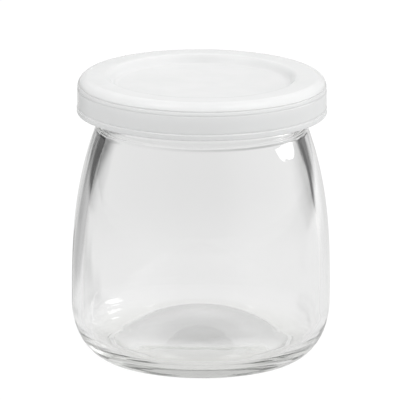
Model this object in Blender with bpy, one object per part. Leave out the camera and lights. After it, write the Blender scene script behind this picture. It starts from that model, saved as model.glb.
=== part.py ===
"""Pudding jar: a round-shouldered clear glass jar with a push-on plastic cap.

Both pieces are turned shapes.  Each is drawn as half of its section, as points of
radius and height in millimetres, and the section is swept once round the Z axis.
The origin is at the centre of the jar's foot, +Z runs up through the mouth, and
the mesh is in metres.
"""
import bpy
from math import cos, pi, radians, sin

MM = 0.001
SIDES = 48                 # facets round the axis

# Jar, outside
BODY_R = 31.0              # widest radius, at the belly
FOOT_R = 21.2              # outer edge of the flat ring that the jar stands on
FOOT_WIDTH = 2.2           # width of that ring
PUSH_UP = 4.0              # height of the hollow under the base
PUSH_POWER = 3.0           # how flat the hollow is in the middle
PUSH_BLEND = 1.4           # how softly it runs out into the ring
HEEL_HEIGHT = 13.5         # height at which the heel's curve meets the belly
BELLY_TOP = 17.0           # height at which the shoulder starts to draw in
CREASE_Z = 56.6            # height of the crease between shoulder and neck
CREASE_R = 25.3            # radius of the glass at the crease
SHOULDER_POWER = 2.55      # how late the shoulder draws in
NECK_R = 24.8              # outside of the neck
CREASE_BEAD = 0.45         # radius of the small bead along the crease

# Jar, inside
BELLY_WALL = 2.1           # wall thickness at the belly
NECK_WALL = 2.8            # wall thickness at the crease and in the neck
FLOOR_Z = 4.2              # height of the inner floor along its lowest ring
FLOOR_CROWN = 8.0          # how far the floor rises in a dome inside that ring
CROWN_POWER = 2.8          # how flat the top of the dome is
FLOOR_R = 22.5             # radius of the lowest ring, where the inner heel's curve starts
INNER_HEEL_TOP = 15.0      # height at which the inner heel meets the wall

# Rim of the mouth, under the cap
RIM_TOP = 67.45            # highest point of the glass
RIM_R = 28.1               # outside of the rim's bead
RIM_BEAD_Z = 62.4          # height of the widest part of the bead
RIM_BEAD_HEIGHT = 1.3      # half of the bead's height
RIM_WALL_R = 27.5          # outside of the rim above its bead
MOUTH_R = 24.2             # inside of the rim
NECK_TOP = 59.6            # height at which the neck flares out to the rim

# Cap
CAP_R = 29.8               # outside of the skirt
CAP_TOP = 68.9             # height of the flat ring round the top
CAP_BOTTOM = 60.0          # lower edge of the skirt
CAP_WALL = 1.1             # thickness of the plastic
EDGE_WIDTH = 2.6           # the top outer edge is a quarter of an ellipse
EDGE_HEIGHT = 2.8
RECESS_R = 22.6            # upper edge of the sunk panel
PANEL_R = 20.8             # edge of the flat of the panel
PANEL_DEPTH = 2.1          # how far the panel lies below the ring
SKIRT_GAP = 0.4            # clearance between the skirt and the glass bead
HEM_HEIGHT = 0.9           # a slightly thicker hem runs round the lower edge
HEM_STEP = 0.12


def ellipse(centre, semi, start, end, steps):
    """Points on an ellipse's arc, from the start to the end angle in degrees.

    Angle 0 points outwards along the radius and 90 points up.
    """
    points = []
    for i in range(steps + 1):
        angle = radians(start + (end - start) * i / steps)
        points.append((centre[0] + semi[0] * cos(angle), centre[1] + semi[1] * sin(angle)))
    return points


def shoulder_radius(z):
    """Outer radius of the body at a height above the belly."""
    rise = (z - BELLY_TOP) / (CREASE_Z - BELLY_TOP)
    return BODY_R - (BODY_R - CREASE_R) * rise ** SHOULDER_POWER


def wall(z):
    """Thickness of the wall above the belly: it grows towards the neck."""
    rise = (z - BELLY_TOP) / (CREASE_Z - BELLY_TOP)
    return BELLY_WALL + (NECK_WALL - BELLY_WALL) * rise ** 2


def shoulder_heights(steps):
    """Heights from the belly to the crease, closer together towards the neck."""
    return [BELLY_TOP + (CREASE_Z - BELLY_TOP) * (i / steps) ** 0.8 for i in range(1, steps)]


def jar_inside():
    """The inner floor, wall and neck, from the middle of the floor up to the rim."""
    inner_belly = BODY_R - BELLY_WALL
    inner_neck = NECK_R - NECK_WALL
    points = [(0.0, FLOOR_Z + FLOOR_CROWN)]
    for share in (0.3, 0.52, 0.7, 0.84, 0.93):
        points.append((FLOOR_R * share, FLOOR_Z + FLOOR_CROWN * (1 - share ** CROWN_POWER)))
    points += ellipse((FLOOR_R, INNER_HEEL_TOP), (inner_belly - FLOOR_R, INNER_HEEL_TOP - FLOOR_Z), -90, 0, 8)
    for z in shoulder_heights(11)[1:]:
        points.append((shoulder_radius(z) - wall(z), z))
    points.append((inner_neck, CREASE_Z + 0.6))
    points.append((inner_neck, NECK_TOP))
    points.append(((inner_neck + MOUTH_R) / 2, (NECK_TOP + RIM_BEAD_Z) / 2))
    points.append((MOUTH_R - 0.2, RIM_BEAD_Z))
    return points


def jar_rim():
    """The rim of the mouth, from its inside over the top and down to the neck."""
    half = (RIM_WALL_R - MOUTH_R) / 2
    top = ellipse((MOUTH_R + half, RIM_TOP - half * 0.8), (half, half * 0.8), 180, 0, 8)
    bead = ellipse((RIM_WALL_R, RIM_BEAD_Z), (RIM_R - RIM_WALL_R, RIM_BEAD_HEIGHT), 90, -60, 5)
    return top + bead + [(NECK_R + 0.9, NECK_TOP + 0.5), (NECK_R, NECK_TOP)]


def jar_outside():
    """The neck, crease, shoulder, belly, heel and foot, from top to bottom."""
    points = ellipse((NECK_R, CREASE_Z), (CREASE_R - NECK_R, CREASE_BEAD), 90, 0, 3)
    for z in reversed(shoulder_heights(13)):
        points.append((shoulder_radius(z), z))
    points.append((BODY_R, BELLY_TOP))
    points += ellipse((FOOT_R, HEEL_HEIGHT), (BODY_R - FOOT_R, HEEL_HEIGHT), 0, -90, 11)
    inner_foot = FOOT_R - FOOT_WIDTH
    for share in (1.0, 0.9, 0.78, 0.6, 0.35, 0.0):
        points.append((inner_foot * share, PUSH_UP * (1 - share ** PUSH_POWER) ** PUSH_BLEND))
    return points


def cap_section():
    """The cap, from the middle of its panel round the skirt and back underneath."""
    edge_z = CAP_TOP - EDGE_HEIGHT
    panel_z = CAP_TOP - PANEL_DEPTH
    hem_r = CAP_R + HEM_STEP
    inner_r = RIM_R + SKIRT_GAP
    points = [(0.0, panel_z), (PANEL_R * 0.5, panel_z), (PANEL_R, panel_z)]
    points += ellipse((PANEL_R, panel_z + 0.5), (0.5, 0.5), -60, -20, 2)
    points += ellipse((RECESS_R, CAP_TOP - 0.4), (0.4, 0.4), 160, 90, 3)
    points += ellipse((CAP_R - EDGE_WIDTH, edge_z), (EDGE_WIDTH, EDGE_HEIGHT), 90, 0, 7)
    points.append((CAP_R, CAP_BOTTOM + HEM_HEIGHT + HEM_STEP))
    points.append((hem_r, CAP_BOTTOM + HEM_HEIGHT))
    points += ellipse((hem_r - 0.5, CAP_BOTTOM + 0.5), (0.5, 0.5), 0, -90, 3)
    points.append((inner_r + 0.2, CAP_BOTTOM))
    points.append((inner_r, CAP_BOTTOM + 0.3))
    points.append((inner_r, edge_z))
    points.append((CAP_R - EDGE_WIDTH, CAP_TOP - CAP_WALL))
    points.append((RECESS_R + CAP_WALL, CAP_TOP - CAP_WALL))
    points.append((PANEL_R + CAP_WALL, panel_z - CAP_WALL))
    points.append((PANEL_R * 0.5, panel_z - CAP_WALL))
    points.append((0.0, panel_z - CAP_WALL))
    return points


def principled(name, colour, roughness, **inputs):
    """A plain Principled material; inputs name further sockets of the shader."""
    material = bpy.data.materials.new(name)
    material.use_nodes = True
    shader = material.node_tree.nodes["Principled BSDF"]
    shader.inputs["Base Color"].default_value = (*colour, 1.0)
    shader.inputs["Roughness"].default_value = roughness
    shader.inputs["Metallic"].default_value = 0.0
    for socket, value in inputs.items():
        shader.inputs[socket.replace("_", " ")].default_value = value
    return material


def turned(name, section, material):
    """An object made by sweeping a section once round the Z axis."""
    mesh = bpy.data.meshes.new(name)
    vertices = [(r * MM, 0.0, z * MM) for r, z in section]
    edges = [(i, i + 1) for i in range(len(section) - 1)]
    mesh.from_pydata(vertices, edges, [])
    piece = bpy.data.objects.new(name, mesh)
    bpy.context.scene.collection.objects.link(piece)
    screw = piece.modifiers.new("Turn", "SCREW")
    screw.angle = 2 * pi
    screw.steps = SIDES
    screw.render_steps = SIDES
    screw.use_merge_vertices = True
    screw.merge_threshold = 0.00001
    screw.use_smooth_shade = True
    mesh.materials.append(material)
    return piece


def main():
    for old in list(bpy.data.objects):
        bpy.data.objects.remove(old)
    glass = principled("glass", (0.93, 0.95, 0.94), 0.03, Transmission_Weight=1.0, IOR=1.52)
    plastic = principled("plastic", (0.88, 0.89, 0.89), 0.35)
    turned("jar", jar_inside() + jar_rim() + jar_outside(), glass)
    turned("cap", cap_section(), plastic)


main()
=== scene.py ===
"""Looks of the pudding jar: clear pressed glass and a milky push-on cap.

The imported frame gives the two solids.  Both are turned shapes, so each is made again
here as a fine surface swept round the Z axis from half of its section.  Sections are
arrays of (radius, height) in millimetres, worked out from the frame's sizes.
"""

import bpy
import numpy as np
from mathutils import Matrix, Vector


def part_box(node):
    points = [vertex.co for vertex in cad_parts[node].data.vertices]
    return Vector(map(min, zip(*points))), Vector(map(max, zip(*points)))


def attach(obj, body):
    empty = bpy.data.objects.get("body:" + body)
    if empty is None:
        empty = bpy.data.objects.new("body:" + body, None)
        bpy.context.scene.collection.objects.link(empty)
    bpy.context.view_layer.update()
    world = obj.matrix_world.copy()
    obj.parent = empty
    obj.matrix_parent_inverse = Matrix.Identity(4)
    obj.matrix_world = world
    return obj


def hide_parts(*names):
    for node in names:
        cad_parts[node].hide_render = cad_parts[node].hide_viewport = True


MM = 0.001


# ---------------------------------------------------------------- frame and sizes

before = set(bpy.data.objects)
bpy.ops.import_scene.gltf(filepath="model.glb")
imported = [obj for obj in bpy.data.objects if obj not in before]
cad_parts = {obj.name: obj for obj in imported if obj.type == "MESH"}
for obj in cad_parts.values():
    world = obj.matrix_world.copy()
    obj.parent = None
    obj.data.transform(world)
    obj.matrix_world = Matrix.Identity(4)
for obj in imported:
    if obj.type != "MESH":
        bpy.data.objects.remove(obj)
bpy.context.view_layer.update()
jar_low, jar_high = (np.array(corner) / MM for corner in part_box("jar"))
cap_low, cap_high = (np.array(corner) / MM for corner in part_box("cap"))

BODY_R = jar_high[0]            # widest radius of the glass
RIM_TOP = jar_high[2]           # top of the glass rim, under the cap
HEM_STEP = 0.12                 # how far the cap's hem stands proud of its skirt
CAP_R = cap_high[0] - HEM_STEP  # outside of the cap's skirt
CAP_BOTTOM = cap_low[2]
CAP_TOP = cap_high[2]

# Jar, outside
FOOT_R = BODY_R - 9.8           # outer edge of the ring that the jar stands on
FOOT_WIDTH = 2.2
PUSH_UP = 4.0                   # height of the hollow under the base
PUSH_POWER = 3.0                # how flat the hollow is in the middle
PUSH_BLEND = 1.4                # how softly it runs out into the ring
HEEL_HEIGHT = 13.5              # where the heel's curve meets the belly
RIPPLES = 9                     # fine rings pressed round the heel
RIPPLE_DEPTH = 0.035
BELLY_TOP = 17.0                # where the shoulder starts to draw in
CREASE_Z = CAP_BOTTOM - 3.4     # the crease between shoulder and neck
CREASE_R = BODY_R - 5.7
SHOULDER_POWER = 2.55           # how late the shoulder draws in
NECK_R = CREASE_R - 0.5
CREASE_BEAD = 0.45              # half height of the small bead along the crease

# Jar, inside
BELLY_WALL = 2.6
NECK_WALL = 3.4
WALL_GROWTH = 39.6              # height above the belly over which the wall thickens
FLOOR_Z = 3.9                   # inner floor along its lowest ring
FLOOR_CROWN = 8.0               # rise of the dome inside that ring
CROWN_POWER = 2.0               # how flat the top of the dome is
FLOOR_R = BODY_R - 8.5          # the lowest ring, where the inner heel's curve starts
INNER_HEEL_TOP = 12.0
HEEL_POWER = 1.95               # fullness of that curve

# Rim of the mouth, under the cap
RIM_R = CAP_R - 1.7
RIM_BEAD_Z = RIM_TOP - 5.05     # the widest part of the bead
RIM_BEAD_HEIGHT = 1.3
RIM_WALL_R = RIM_R - 0.6
MOUTH_R = RIM_R - 3.9
NECK_TOP = CAP_BOTTOM - 0.4     # where the neck flares out to the rim

# Cap
CAP_WALL = 1.1
EDGE_WIDTH = 2.6                # the top outer edge is a quarter of an ellipse
EDGE_HEIGHT = 2.8
LIP_GROOVES = (CAP_TOP - 1.97, CAP_TOP - 2.95)  # fine grooves under the rounded edge
GROOVE_DEPTH = 0.20
GROOVE_HALF = 0.17
HEM_GROOVE_DEPTH = 0.10
RECESS_R = CAP_R - 7.2          # upper edge of the sunk panel
PANEL_R = RECESS_R - 1.8
PANEL_DEPTH = 2.1
PANEL_LIFT = 0.12               # rise of the panel towards its edge
SKIRT_GAP = 0.4
HEM_HEIGHT = 0.9
HEM_ROUND = (0.28, 0.3)         # semi-axes of the hem's lower edge

AROUND = 240                    # steps round the axis


# ---------------------------------------------------------------- sections and sweeps

def ellipse(centre, semi, start, end, count, power=2.0):
    """An arc: centre plus the semi-axes times (cos, sin) of an angle that runs evenly
    from start to end degrees.  Angle 0 is outwards and 90 is up.  Both are raised to
    2 / power with their signs kept, which makes the arc fuller above 2."""
    angle = np.radians(np.linspace(start, end, count))
    way = np.stack([np.cos(angle), np.sin(angle)], 1)
    return np.array(centre) + np.array(semi) * np.sign(way) * np.abs(way) ** (2 / power)


def smooth_run(points, count):
    """A curve through a few (radius, height) points: a cubic in each stretch, whose
    slope at a point is that of the line between its two neighbours."""
    p = np.array(points, float)
    ends = np.vstack([2 * p[0] - p[1], p, 2 * p[-1] - p[-2]])
    u = np.linspace(0, len(p) - 1, count)
    i = np.minimum(u.astype(int), len(p) - 2)
    t = (u - i)[:, None]
    a, b, c, d = ends[i], ends[i + 1], ends[i + 2], ends[i + 3]
    return b + 0.5 * t * (c - a + t * (2 * a - 5 * b + 4 * c - d + t * (3 * (b - c) + d - a)))


def groove(depth, z, centre, half):
    """How far a rounded groove draws the surface in: depth times one plus the cosine of
    the distance from its centre, over two, and nothing past half its height."""
    share = np.clip((z - centre) / half, -1, 1)
    return depth * (1 + np.cos(np.pi * share)) / 2


def shoulder_radius(z):
    """Outer radius above the belly: it draws in by a power of the height."""
    rise = np.clip((z - BELLY_TOP) / (CREASE_Z - BELLY_TOP), 0, None)
    return BODY_R - (BODY_R - CREASE_R) * rise ** SHOULDER_POWER


def wall(z):
    """Wall thickness above the belly: a smooth step up to the neck's, over WALL_GROWTH."""
    rise = np.clip((z - BELLY_TOP) / WALL_GROWTH, 0, 1)
    return BELLY_WALL + (NECK_WALL - BELLY_WALL) * rise * rise * (3 - 2 * rise)


def jar_inside():
    """From the middle of the inner floor up to the mouth.  The floor is a dome that falls
    by a power of the radius, an arc is the inner heel, the wall lies its thickness
    inside the shoulder, and a smooth run is the throat."""
    inner_belly = BODY_R - BELLY_WALL
    inner_neck = NECK_R - NECK_WALL
    share = np.linspace(0, 1, 40)[:-1]
    floor = np.stack([FLOOR_R * share, FLOOR_Z + FLOOR_CROWN * (1 - share ** CROWN_POWER)], 1)
    heel_size = (inner_belly - FLOOR_R, INNER_HEEL_TOP - FLOOR_Z)
    inner_heel = ellipse((FLOOR_R, INNER_HEEL_TOP), heel_size, -90, 0, 40, HEEL_POWER)
    z = np.linspace(INNER_HEEL_TOP, CREASE_Z - 1.5, 48)[1:]
    inner_wall = np.stack([shoulder_radius(z) - wall(z), z], 1)
    throat = smooth_run([inner_wall[-1], (inner_neck, CREASE_Z + 0.8), (inner_neck, NECK_TOP),
                         (MOUTH_R - 0.9, NECK_TOP + 1.6), (MOUTH_R - 0.1, RIM_BEAD_Z),
                         (MOUTH_R, RIM_BEAD_Z + 1.6)], 30)[1:]
    return np.vstack([floor, inner_heel, inner_wall, throat])


def jar_rim():
    """Over the rim, round its bead and down the neck: two arcs and a smooth run."""
    half = (RIM_WALL_R - MOUTH_R) / 2
    rim = ellipse((MOUTH_R + half, RIM_TOP - half * 0.8), (half, half * 0.8), 180, 0, 20)
    bead = ellipse((RIM_WALL_R, RIM_BEAD_Z), (RIM_R - RIM_WALL_R, RIM_BEAD_HEIGHT), 90, -60, 14)
    neck = smooth_run([bead[-1], (NECK_R + 0.9, NECK_TOP + 0.5), (NECK_R, NECK_TOP - 0.2),
                       (NECK_R, NECK_TOP - 0.8)], 16)[1:]
    return np.vstack([rim, bead, neck])


def jar_outside():
    """From the crease down to the middle of the base.  The heel is an arc, drawn in along
    its own direction by one less the cosine of RIPPLES turns, over two, times the ripple
    depth and a sine squared that fades it at both ends.  The hollow of the base rises by
    one less a power of the radius, to a power of its own."""
    crease = ellipse((NECK_R, CREASE_Z), (CREASE_R - NECK_R, CREASE_BEAD), 90, 0, 10)
    z = np.linspace(CREASE_Z, BELLY_TOP, 56)[1:]
    shoulder = np.stack([shoulder_radius(z), z], 1)
    heel = ellipse((FOOT_R, HEEL_HEIGHT), (BODY_R - FOOT_R, HEEL_HEIGHT), 0, -90, 100)
    share = np.linspace(0, 1, 100)
    outwards = np.stack([np.cos(np.pi / 2 * share), -np.sin(np.pi / 2 * share)], 1)
    rings = RIPPLE_DEPTH * (1 - np.cos(2 * np.pi * RIPPLES * share)) / 2 * np.sin(np.pi * share) ** 2
    heel -= rings[:, None] * outwards
    inner_foot = FOOT_R - FOOT_WIDTH
    share = np.linspace(1, 0, 40)
    base = np.stack([inner_foot * share, PUSH_UP * (1 - share ** PUSH_POWER) ** PUSH_BLEND], 1)
    return np.vstack([crease, shoulder, heel, base])


def cap_outside():
    """From the middle of the cap's panel out over the cove and the flat ring, round the
    edge, and down the skirt to its hem.  The panel lifts by a sixth power of the radius.
    Rounded grooves are taken off the edge and the skirt, and above the hem the surface
    draws in by a square and comes out again by a smooth step."""
    edge_z = CAP_TOP - EDGE_HEIGHT
    panel_z = CAP_TOP - PANEL_DEPTH
    ring_r = CAP_R - EDGE_WIDTH
    share = np.linspace(0, 1, 24)[:-1]
    panel = np.stack([PANEL_R * share, panel_z + PANEL_LIFT * share ** 6], 1)
    cove = smooth_run([(PANEL_R, panel_z + PANEL_LIFT), (PANEL_R + 0.45, panel_z + 0.45),
                       (RECESS_R - 0.55, CAP_TOP - 0.55), (RECESS_R, CAP_TOP - 0.1),
                       (RECESS_R + 0.6, CAP_TOP)], 26)
    ring = np.stack([np.linspace(RECESS_R + 0.9, ring_r - 0.5, 8), np.full(8, CAP_TOP)], 1)
    edge = ellipse((ring_r, edge_z), (EDGE_WIDTH, EDGE_HEIGHT), 90, 0, 90)
    hem_r = CAP_R + HEM_STEP
    hem_z = CAP_BOTTOM + HEM_HEIGHT + 0.3
    z = np.linspace(edge_z, hem_z + 0.9, 24)[1:]
    skirt = np.stack([np.full(23, CAP_R), z], 1)
    side = np.vstack([edge, skirt])
    for centre in LIP_GROOVES:
        side[:, 0] -= groove(GROOVE_DEPTH, side[:, 1], centre, GROOVE_HALF)
    z = np.linspace(hem_z + 0.85, hem_z - 0.05, 24)
    rise = np.clip((hem_z + 0.25 - z) / 0.25, 0, 1)
    above = CAP_R - HEM_GROOVE_DEPTH * np.clip((hem_z + 0.85 - z) / 0.5, 0, 1) ** 2
    hem_top = np.stack([above + (hem_r - above) * rise * rise * (3 - 2 * rise), z], 1)
    hem = ellipse((hem_r - HEM_ROUND[0], CAP_BOTTOM + HEM_ROUND[1]), HEM_ROUND, 0, -90, 12)
    return np.vstack([panel, cove, ring, side, hem_top, hem])


def cap_inside():
    """Back underneath, from the hem up inside the skirt to the middle of the panel: the
    plastic's wall inside the outer surface, as straight stretches."""
    edge_z = CAP_TOP - EDGE_HEIGHT
    ceiling_z = CAP_TOP - CAP_WALL
    under_z = CAP_TOP - PANEL_DEPTH - CAP_WALL
    inner_r = RIM_R + SKIRT_GAP
    corner_r = RECESS_R + CAP_WALL
    panel_r = PANEL_R + CAP_WALL
    skirt = np.array([(inner_r + 0.2, CAP_BOTTOM), (inner_r, CAP_BOTTOM + 0.3),
                      (inner_r, (CAP_BOTTOM + edge_z) / 2), (inner_r, edge_z),
                      (inner_r - 0.5, edge_z + 0.9), (CAP_R - EDGE_WIDTH, ceiling_z),
                      (corner_r + 1.0, ceiling_z), (corner_r, ceiling_z - 0.2),
                      (panel_r, under_z + 0.2), (panel_r - 0.4, under_z)])
    under = np.stack([np.linspace(PANEL_R, 0, 16), np.full(16, under_z)], 1)
    return np.vstack([skirt, under])


def turned(name, *stretches):
    """A closed surface: each inner point of the section becomes a ring of vertices, its
    radius times (cos, sin) of evenly spaced angles, and both ends become poles."""
    section = np.vstack(stretches)
    ring = section[1:-1]
    rows = len(ring)
    angle = np.linspace(0, 2 * np.pi, AROUND, endpoint=False)
    grid = np.empty((rows, AROUND, 3))
    grid[..., 0] = ring[:, :1] * np.cos(angle)
    grid[..., 1] = ring[:, :1] * np.sin(angle)
    grid[..., 2] = ring[:, 1:]
    poles = np.array([(0, 0, section[0, 1]), (0, 0, section[-1, 1])], float)
    points = np.vstack([grid.reshape(-1, 3), poles]) * MM
    index = np.arange(rows * AROUND).reshape(rows, AROUND)
    after = np.roll(index, -1, axis=1)
    quads = np.stack([index[:-1], index[1:], after[1:], after[:-1]], -1).reshape(-1, 4)
    first, last = rows * AROUND, rows * AROUND + 1
    start_fan = np.stack([np.full(AROUND, first), index[0], after[0]], -1)
    end_fan = np.stack([np.full(AROUND, last), after[-1], index[-1]], -1)
    mesh = bpy.data.meshes.new(name)
    mesh.from_pydata(points, [], quads.tolist() + start_fan.tolist() + end_fan.tolist())
    mesh.shade_smooth()
    piece = bpy.data.objects.new(name, mesh)
    bpy.context.scene.collection.objects.link(piece)
    return piece


# ---------------------------------------------------------------- material building

def new_material(name):
    """An empty node material: its tree and its output node."""
    material = bpy.data.materials.new(name)
    material.use_nodes = True
    tree = material.node_tree
    tree.nodes.clear()
    return material, tree, tree.nodes.new("ShaderNodeOutputMaterial")


def place_on(tree):
    """The place on the piece, in metres, as one vector and split along the axes."""
    where = tree.nodes.new("ShaderNodeTexCoord").outputs["Object"]
    split = tree.nodes.new("ShaderNodeSeparateXYZ")
    tree.links.new(where, split.inputs[0])
    return where, split.outputs


def smooth_step(tree, value, start, end, low=0.0, high=1.0):
    """A Map Range node that runs smoothly from low to high while the value goes from
    start to end, and stays level outside them."""
    node = tree.nodes.new("ShaderNodeMapRange")
    node.interpolation_type = "SMOOTHSTEP"
    for name, number in zip(("From Min", "From Max", "To Min", "To Max"), (start, end, low, high)):
        node.inputs[name].default_value = number
    tree.links.new(value, node.inputs["Value"])
    return node.outputs[0]


def combine(tree, operation, one, two):
    """A Math node on two values, each a socket or a number."""
    node = tree.nodes.new("ShaderNodeMath")
    node.operation = operation
    for socket, value in zip(node.inputs, (one, two)):
        if isinstance(value, (int, float)):
            socket.default_value = value
        else:
            tree.links.new(value, socket)
    return node.outputs[0]


def tinted(tree, value, low, high):
    """A colour between two, by a value from 0 to 1."""
    mix = tree.nodes.new("ShaderNodeMix")
    mix.data_type = "RGBA"
    tree.links.new(value, mix.inputs["Factor"])
    first, second, result = mix.inputs[6], mix.inputs[7], mix.outputs[2]   # the colour sockets
    first.default_value = (*low, 1)
    second.default_value = (*high, 1)
    return result


def uneven_group():
    """The unevenness that both finishes have, as one node group: noise at a place, its
    features 1 / Scale metres wide and drawn out Stretch times along Z.  Amount is the
    noise, from 0 to 1, and Normal is the surface tilted by Depth metres of it."""
    group = bpy.data.node_groups.new("uneven surface", "ShaderNodeTree")
    group.interface.new_socket("Place", in_out="INPUT", socket_type="NodeSocketVector")
    for name in ("Scale", "Stretch", "Depth"):
        group.interface.new_socket(name, in_out="INPUT", socket_type="NodeSocketFloat")
    group.interface.new_socket("Amount", in_out="OUTPUT", socket_type="NodeSocketFloat")
    group.interface.new_socket("Normal", in_out="OUTPUT", socket_type="NodeSocketVector")
    new, link = group.nodes.new, group.links.new
    given, result = new("NodeGroupInput").outputs, new("NodeGroupOutput").inputs
    split, join = new("ShaderNodeSeparateXYZ"), new("ShaderNodeCombineXYZ")
    link(given["Place"], split.inputs[0])
    link(split.outputs["X"], join.inputs["X"])
    link(split.outputs["Y"], join.inputs["Y"])
    link(combine(group, "DIVIDE", split.outputs["Z"], given["Stretch"]), join.inputs["Z"])
    texture, bump = new("ShaderNodeTexNoise"), new("ShaderNodeBump")
    link(join.outputs[0], texture.inputs["Vector"])
    link(given["Scale"], texture.inputs["Scale"])
    link(texture.outputs[0], result["Amount"])
    bump.inputs["Strength"].default_value = 1.0
    link(texture.outputs[0], bump.inputs["Height"])
    link(given["Depth"], bump.inputs["Distance"])
    link(bump.outputs[0], result["Normal"])
    return group


def uneven(tree, where, scale, stretch=1.0, depth=0.0):
    """The unevenness placed in a material with its own values: its node's outputs."""
    node = tree.nodes.new("ShaderNodeGroup")
    node.node_tree = bpy.data.node_groups.get("uneven surface") or uneven_group()
    tree.links.new(where, node.inputs["Place"])
    for name, value in (("Scale", scale), ("Stretch", stretch), ("Depth", depth)):
        node.inputs[name].default_value = value
    return node.outputs


# ---------------------------------------------------------------- glass and plastic

# Heights and depths of the finishes are in metres.
FOOT_TINT = (0.985, 0.988, 0.965)           # a touch of olive
CLEAR = (1, 1, 1)
TINT_HEIGHTS = (0.0, 0.009)                 # over which the tint fades out
DULL_HEIGHTS = (0.0002, 0.0009)             # over which the foot's dulling fades out
FOOT_ROUGHNESS = 0.12
GLASS_WAVES = (90.0, 4.0, 0.00012)          # scale, stretch and depth
GLASS_SHADOW = (0.93, 0.93, 0.93, 1)        # light that its shadow lets through
GLASS_BODY = (0.50, 0.51, 0.49, 1)          # absorption
GLASS_DENSITY = 14.0

# The skirt's colour is darker than the top's as painted shade, since its sides get less light than
# the top.
SHADED_SKIRT_COLOUR = (0.80, 0.806, 0.806)
LIT_TOP_COLOUR = (0.87, 0.873, 0.873)
SKIRT_SHADE_HEIGHTS = (0.0640, 0.0672)            # over which the skirt's painted shade gives way to the lighter top
CLOUD_SCALE = 120.0
CLOUD_SHARE = 0.2                           # how much of the colour's change is clouds
CLOUD_ROUGHNESS = (0.20, 0.255)             # in its thin and its thick parts
PLASTIC_GRAIN = (260.0, 1.0, 0.000012)      # scale, stretch and depth


def clear_glass():
    """Clear pressed glass: long faint waves down the walls, a touch of olive in the
    thick foot, and a ring of fine dulling where the foot stands."""
    material, tree, out = new_material("clear glass")
    link = tree.links.new
    shader = tree.nodes.new("ShaderNodeBsdfPrincipled")
    shader.inputs["IOR"].default_value = 1.52
    shader.inputs["Transmission Weight"].default_value = 1.0
    where, along = place_on(tree)
    foot = smooth_step(tree, along["Z"], *TINT_HEIGHTS)
    link(tinted(tree, foot, FOOT_TINT, CLEAR), shader.inputs["Base Color"])
    dulling = smooth_step(tree, along["Z"], *DULL_HEIGHTS, FOOT_ROUGHNESS, 0.0)
    link(dulling, shader.inputs["Roughness"])
    link(uneven(tree, where, *GLASS_WAVES)["Normal"], shader.inputs["Normal"])
    open_light = tree.nodes.new("ShaderNodeBsdfTransparent")
    open_light.inputs["Color"].default_value = GLASS_SHADOW
    path = tree.nodes.new("ShaderNodeLightPath")
    mix = tree.nodes.new("ShaderNodeMixShader")
    link(path.outputs["Is Shadow Ray"], mix.inputs[0])
    link(shader.outputs[0], mix.inputs[1])
    link(open_light.outputs[0], mix.inputs[2])
    link(mix.outputs[0], out.inputs["Surface"])
    body = tree.nodes.new("ShaderNodeVolumeAbsorption")
    body.inputs["Color"].default_value = GLASS_BODY
    body.inputs["Density"].default_value = GLASS_DENSITY
    link(body.outputs[0], out.inputs["Volume"])
    return material


def milky_plastic():
    """Milky polyethylene, faintly clouded, with a fine moulded grain.  Its colour is darker down the
    skirt than on the top as painted shade, for the less light that the skirt gets."""
    material, tree, out = new_material("milky plastic")
    link = tree.links.new
    shader = tree.nodes.new("ShaderNodeBsdfPrincipled")
    shader.inputs["IOR"].default_value = 1.5
    shader.inputs["Transmission Weight"].default_value = 0.30
    where, along = place_on(tree)
    # painted shade: the colour is darker down the skirt, up to its rounded edge
    top = smooth_step(tree, along["Z"], *SKIRT_SHADE_HEIGHTS)
    clouds = uneven(tree, where, CLOUD_SCALE)["Amount"]
    shade = combine(tree, "ADD", combine(tree, "MULTIPLY", top, 1.0 - CLOUD_SHARE),
                    combine(tree, "MULTIPLY", clouds, CLOUD_SHARE))
    link(tinted(tree, shade, SHADED_SKIRT_COLOUR, LIT_TOP_COLOUR), shader.inputs["Base Color"])
    link(smooth_step(tree, clouds, 0.3, 0.7, *CLOUD_ROUGHNESS), shader.inputs["Roughness"])
    link(uneven(tree, where, *PLASTIC_GRAIN)["Normal"], shader.inputs["Normal"])
    link(shader.outputs[0], out.inputs["Surface"])
    return material


# ---------------------------------------------------------------- pieces

glass = turned("jar_glass", jar_inside(), jar_rim(), jar_outside())
glass.data.materials.append(clear_glass())
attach(glass, "root")
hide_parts("jar")

cap = turned("cap_plastic", cap_outside(), cap_inside())
cap.data.materials.append(milky_plastic())
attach(cap, "root")
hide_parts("cap")


# ---------------------------------------------------------------- floor and surroundings

# Changes of the light along the axes: the axis, where the change starts and ends, and how much it
# adds.  On the floor they are painted light on its glow and the places are in metres, and in the sky
# they are parts of a direction.
FLOOR_CHANGES = (("X", 0.06, 0.28, 0.28), ("X", -0.12, -0.30, 0.12),
                 ("Y", 0.04, 0.20, -0.09), ("Y", -0.04, -0.30, 0.08))
SKY_CHANGES = (("X", 0.2, 1.0, 0.52), ("X", -0.2, -1.0, 0.15),
               ("Y", 0.1, 0.9, -0.27), ("Y", -0.1, -0.9, -0.15), ("Z", 0.15, 0.60, 0.22))
# Dim zones behind the jar, which on the floor are painted shade where dark cards would stand: start,
# end and softness of their angles, depth, and the distances from the axis, in metres, over which
# they set in.
FLOOR_ZONES = ((46, 73, 4, 0.95, 0.42, 0.62), (24, 48, 4, 0.94, 0.38, 0.56),
               (72, 90, 5, 0.42, 0.30, 0.55), (104, 120, 4, 0.92, 0.27, 0.41),
               (117, 148, 4, 0.94, 0.44, 0.68), (118, 140, 4, 0.42, 0.04, 0.12))
# The same, with the sines of the heights over which they end.
SKY_ZONES = ((116, 156, 5, 0.92, 0.08, 0.20), (24, 60, 5, 0.85, 0.06, 0.15))

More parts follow.
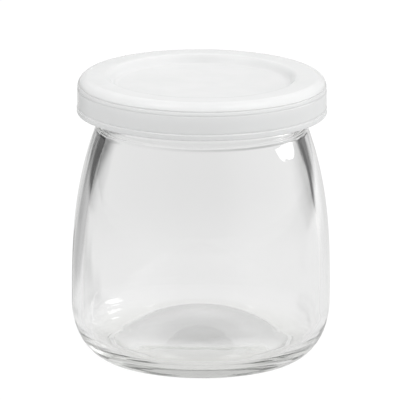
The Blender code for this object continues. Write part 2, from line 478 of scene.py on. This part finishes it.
FLOOR_GLOW = (0.015, 0.045, 0.70, 0.755)    # distances from the axis, and the glow at each; the glow is painted light, dimmer near the axis as a painted shadow under the jar
SEEN_GLOW = 0.95                            # of the floor as the camera itself sees it
FLOOR_COLOUR = (0.08, 0.08, 0.08, 1)
FLOOR_HALF = 3.0
SKY_GLOW = 0.97


def graded(tree, level, along, changes):
    """The level plus smooth changes along the axes."""
    for axis, start, end, amount in changes:
        change = smooth_step(tree, along[axis], start, end, 0.0, amount)
        level = combine(tree, "ADD", level, change)
    return level


def darkened(tree, level, along, zones, limit):
    """The level times one less each zone's depth, inside that zone's angles round the
    jar, from +X in degrees, with soft edges.  limit(zone) gives a further 0 to 1 factor."""
    angle = combine(tree, "ARCTAN2", along["Y"], along["X"])
    for zone in zones:
        start, end, soft, depth = zone[:4]
        inside = smooth_step(tree, angle, *np.radians((start - soft, start + soft)))
        outside = smooth_step(tree, angle, *np.radians((end - soft, end + soft)), 1.0, 0.0)
        share = combine(tree, "MULTIPLY", combine(tree, "MULTIPLY", inside, outside), limit(zone))
        left = combine(tree, "SUBTRACT", 1.0, combine(tree, "MULTIPLY", share, depth))
        level = combine(tree, "MULTIPLY", level, left)
    return level


def pale_floor():
    """A wide flat floor under a slightly matt top, with a glow of its own that is painted light:
    brighter out to the sides and in front, dimmer behind, and dimmer under the jar as a painted
    shadow.  Behind the jar the glow has two dim areas of painted shade, where dark cards would
    stand, that give clear glass its dark edges.  The camera itself sees it almost white."""
    material, tree, out = new_material("pale floor")
    link = tree.links.new
    where, along = place_on(tree)
    length = tree.nodes.new("ShaderNodeVectorMath")
    length.operation = "LENGTH"
    link(where, length.inputs[0])
    away = length.outputs["Value"]
    # painted light and shadow: the glow dips under the jar and changes along the axes
    level = graded(tree, smooth_step(tree, away, *FLOOR_GLOW), along, FLOOR_CHANGES)
    # painted shade on the floor's glow behind the jar, where dark cards would stand
    level = darkened(tree, level, along, FLOOR_ZONES,
                     lambda zone: smooth_step(tree, away, zone[4], zone[5]))
    path = tree.nodes.new("ShaderNodeLightPath")
    seen = tree.nodes.new("ShaderNodeMapRange")
    seen.inputs["To Max"].default_value = SEEN_GLOW
    link(level, seen.inputs["To Min"])
    link(path.outputs["Is Camera Ray"], seen.inputs["Value"])
    glow = tree.nodes.new("ShaderNodeEmission")
    link(seen.outputs[0], glow.inputs["Strength"])
    matt = tree.nodes.new("ShaderNodeBsdfDiffuse")
    matt.inputs["Color"].default_value = FLOOR_COLOUR
    both = tree.nodes.new("ShaderNodeAddShader")
    link(glow.outputs[0], both.inputs[0])
    link(matt.outputs[0], both.inputs[1])
    link(both.outputs[0], out.inputs["Surface"])
    return material


def lay_floor():
    """One flat square sheet, which isn't part of the object."""
    mesh = bpy.data.meshes.new("floor")
    signs = ((-1, -1), (1, -1), (1, 1), (-1, 1))
    mesh.from_pydata([(FLOOR_HALF * x, FLOOR_HALF * y, 0) for x, y in signs], [], [(0, 1, 2, 3)])
    mesh.materials.append(pale_floor())
    floor = bpy.data.objects.new("floor", mesh)
    bpy.context.scene.collection.objects.link(floor)


def studio_world():
    """Even light: brightest from the right and from above, dimmer behind the jar, with
    two dim areas low down behind it, left and right."""
    world = bpy.data.worlds.new("studio")
    bpy.context.scene.world = world
    world.use_nodes = True
    tree = world.node_tree
    tree.nodes.clear()
    out = tree.nodes.new("ShaderNodeOutputWorld")
    back = tree.nodes.new("ShaderNodeBackground")
    back.inputs["Color"].default_value = (1, 1, 1, 1)
    way = tree.nodes.new("ShaderNodeTexCoord")
    split = tree.nodes.new("ShaderNodeSeparateXYZ")
    tree.links.new(way.outputs["Generated"], split.inputs[0])
    along = split.outputs
    level = graded(tree, SKY_GLOW, along, SKY_CHANGES)
    level = darkened(tree, level, along, SKY_ZONES,
                     lambda zone: smooth_step(tree, along["Z"], zone[4], zone[5], 1.0, 0.0))
    tree.links.new(level, back.inputs["Strength"])
    tree.links.new(back.outputs[0], out.inputs["Surface"])


# ---------------------------------------------------------------- lamps and camera

# Name, shape, direction from the jar (degrees from +X, and above the floor), distance,
# size, brightness and tip about the line to the jar.
LAMPS = (("overhead_right", "RECTANGLE", -25, 62, 0.7, (0.34, 0.34), 1.4, 0),
         ("overhead_left", "RECTANGLE", 205, 62, 0.7, (0.34, 0.34), 1.4, 0),
         ("right_strip", "ELLIPSE", 13, 10.5, 0.6, (0.22, 0.060), 5.5, -16))
LAMP_AIM = Vector((0.012, -0.010, 0.050))

CAMERA_AIM = Vector((0, 0, 0.0382))
CAMERA_DISTANCE = 2.0
CAMERA_ELEVATION = 14.2
CAMERA_ROLL = 0.36
CAMERA_LENS = 751.0
CAMERA_SHIFT = -0.0034
LIGHT_BOUNCES = 48              # light runs a long way round in the thick heel


def soft_box(name, shape, azimuth, elevation, distance, size, glow, turn):
    """A soft light that faces the jar.  Its power is its brightness times pi times its
    area."""
    a, e = np.radians(azimuth), np.radians(elevation)
    way = Vector((np.cos(e) * np.cos(a), np.cos(e) * np.sin(a), np.sin(e)))
    light = bpy.data.lights.new(name, "AREA")
    light.shape = shape
    light.size, light.size_y = size
    area = size[0] * size[1] * (np.pi / 4 if shape == "ELLIPSE" else 1)
    light.energy = glow * np.pi * area
    lamp = bpy.data.objects.new(name, light)
    facing = way.to_track_quat("Z", "Y").to_matrix().to_4x4()
    tip = Matrix.Rotation(np.radians(turn), 4, "Z")
    lamp.matrix_world = Matrix.Translation(LAMP_AIM + way * distance) @ facing @ tip
    bpy.context.scene.collection.objects.link(lamp)


def set_camera():
    """A long lens a little above the horizontal, turned slightly about its own axis."""
    elevation = np.radians(CAMERA_ELEVATION)
    data = bpy.data.cameras.new("camera")
    data.lens = CAMERA_LENS
    data.sensor_width = 36.0
    data.shift_x = CAMERA_SHIFT
    data.clip_start = 0.1
    data.clip_end = 20.0
    camera = bpy.data.objects.new("camera", data)
    place = CAMERA_AIM + Vector((0, -np.cos(elevation), np.sin(elevation))) * CAMERA_DISTANCE
    roll = Matrix.Rotation(np.radians(CAMERA_ROLL), 4, "Z")
    turn = (place - CAMERA_AIM).to_track_quat("Z", "Y").to_matrix().to_4x4()
    camera.matrix_world = Matrix.Translation(place) @ turn @ roll
    bpy.context.scene.collection.objects.link(camera)
    bpy.context.scene.camera = camera


lay_floor()
studio_world()
for lamp in LAMPS:
    soft_box(*lamp)
set_camera()
bpy.context.scene.view_settings.view_transform = "Standard"
bpy.context.scene.cycles.max_bounces = LIGHT_BOUNCES
bpy.context.scene.cycles.transmission_bounces = LIGHT_BOUNCES
bpy.context.scene.cycles.glossy_bounces = LIGHT_BOUNCES
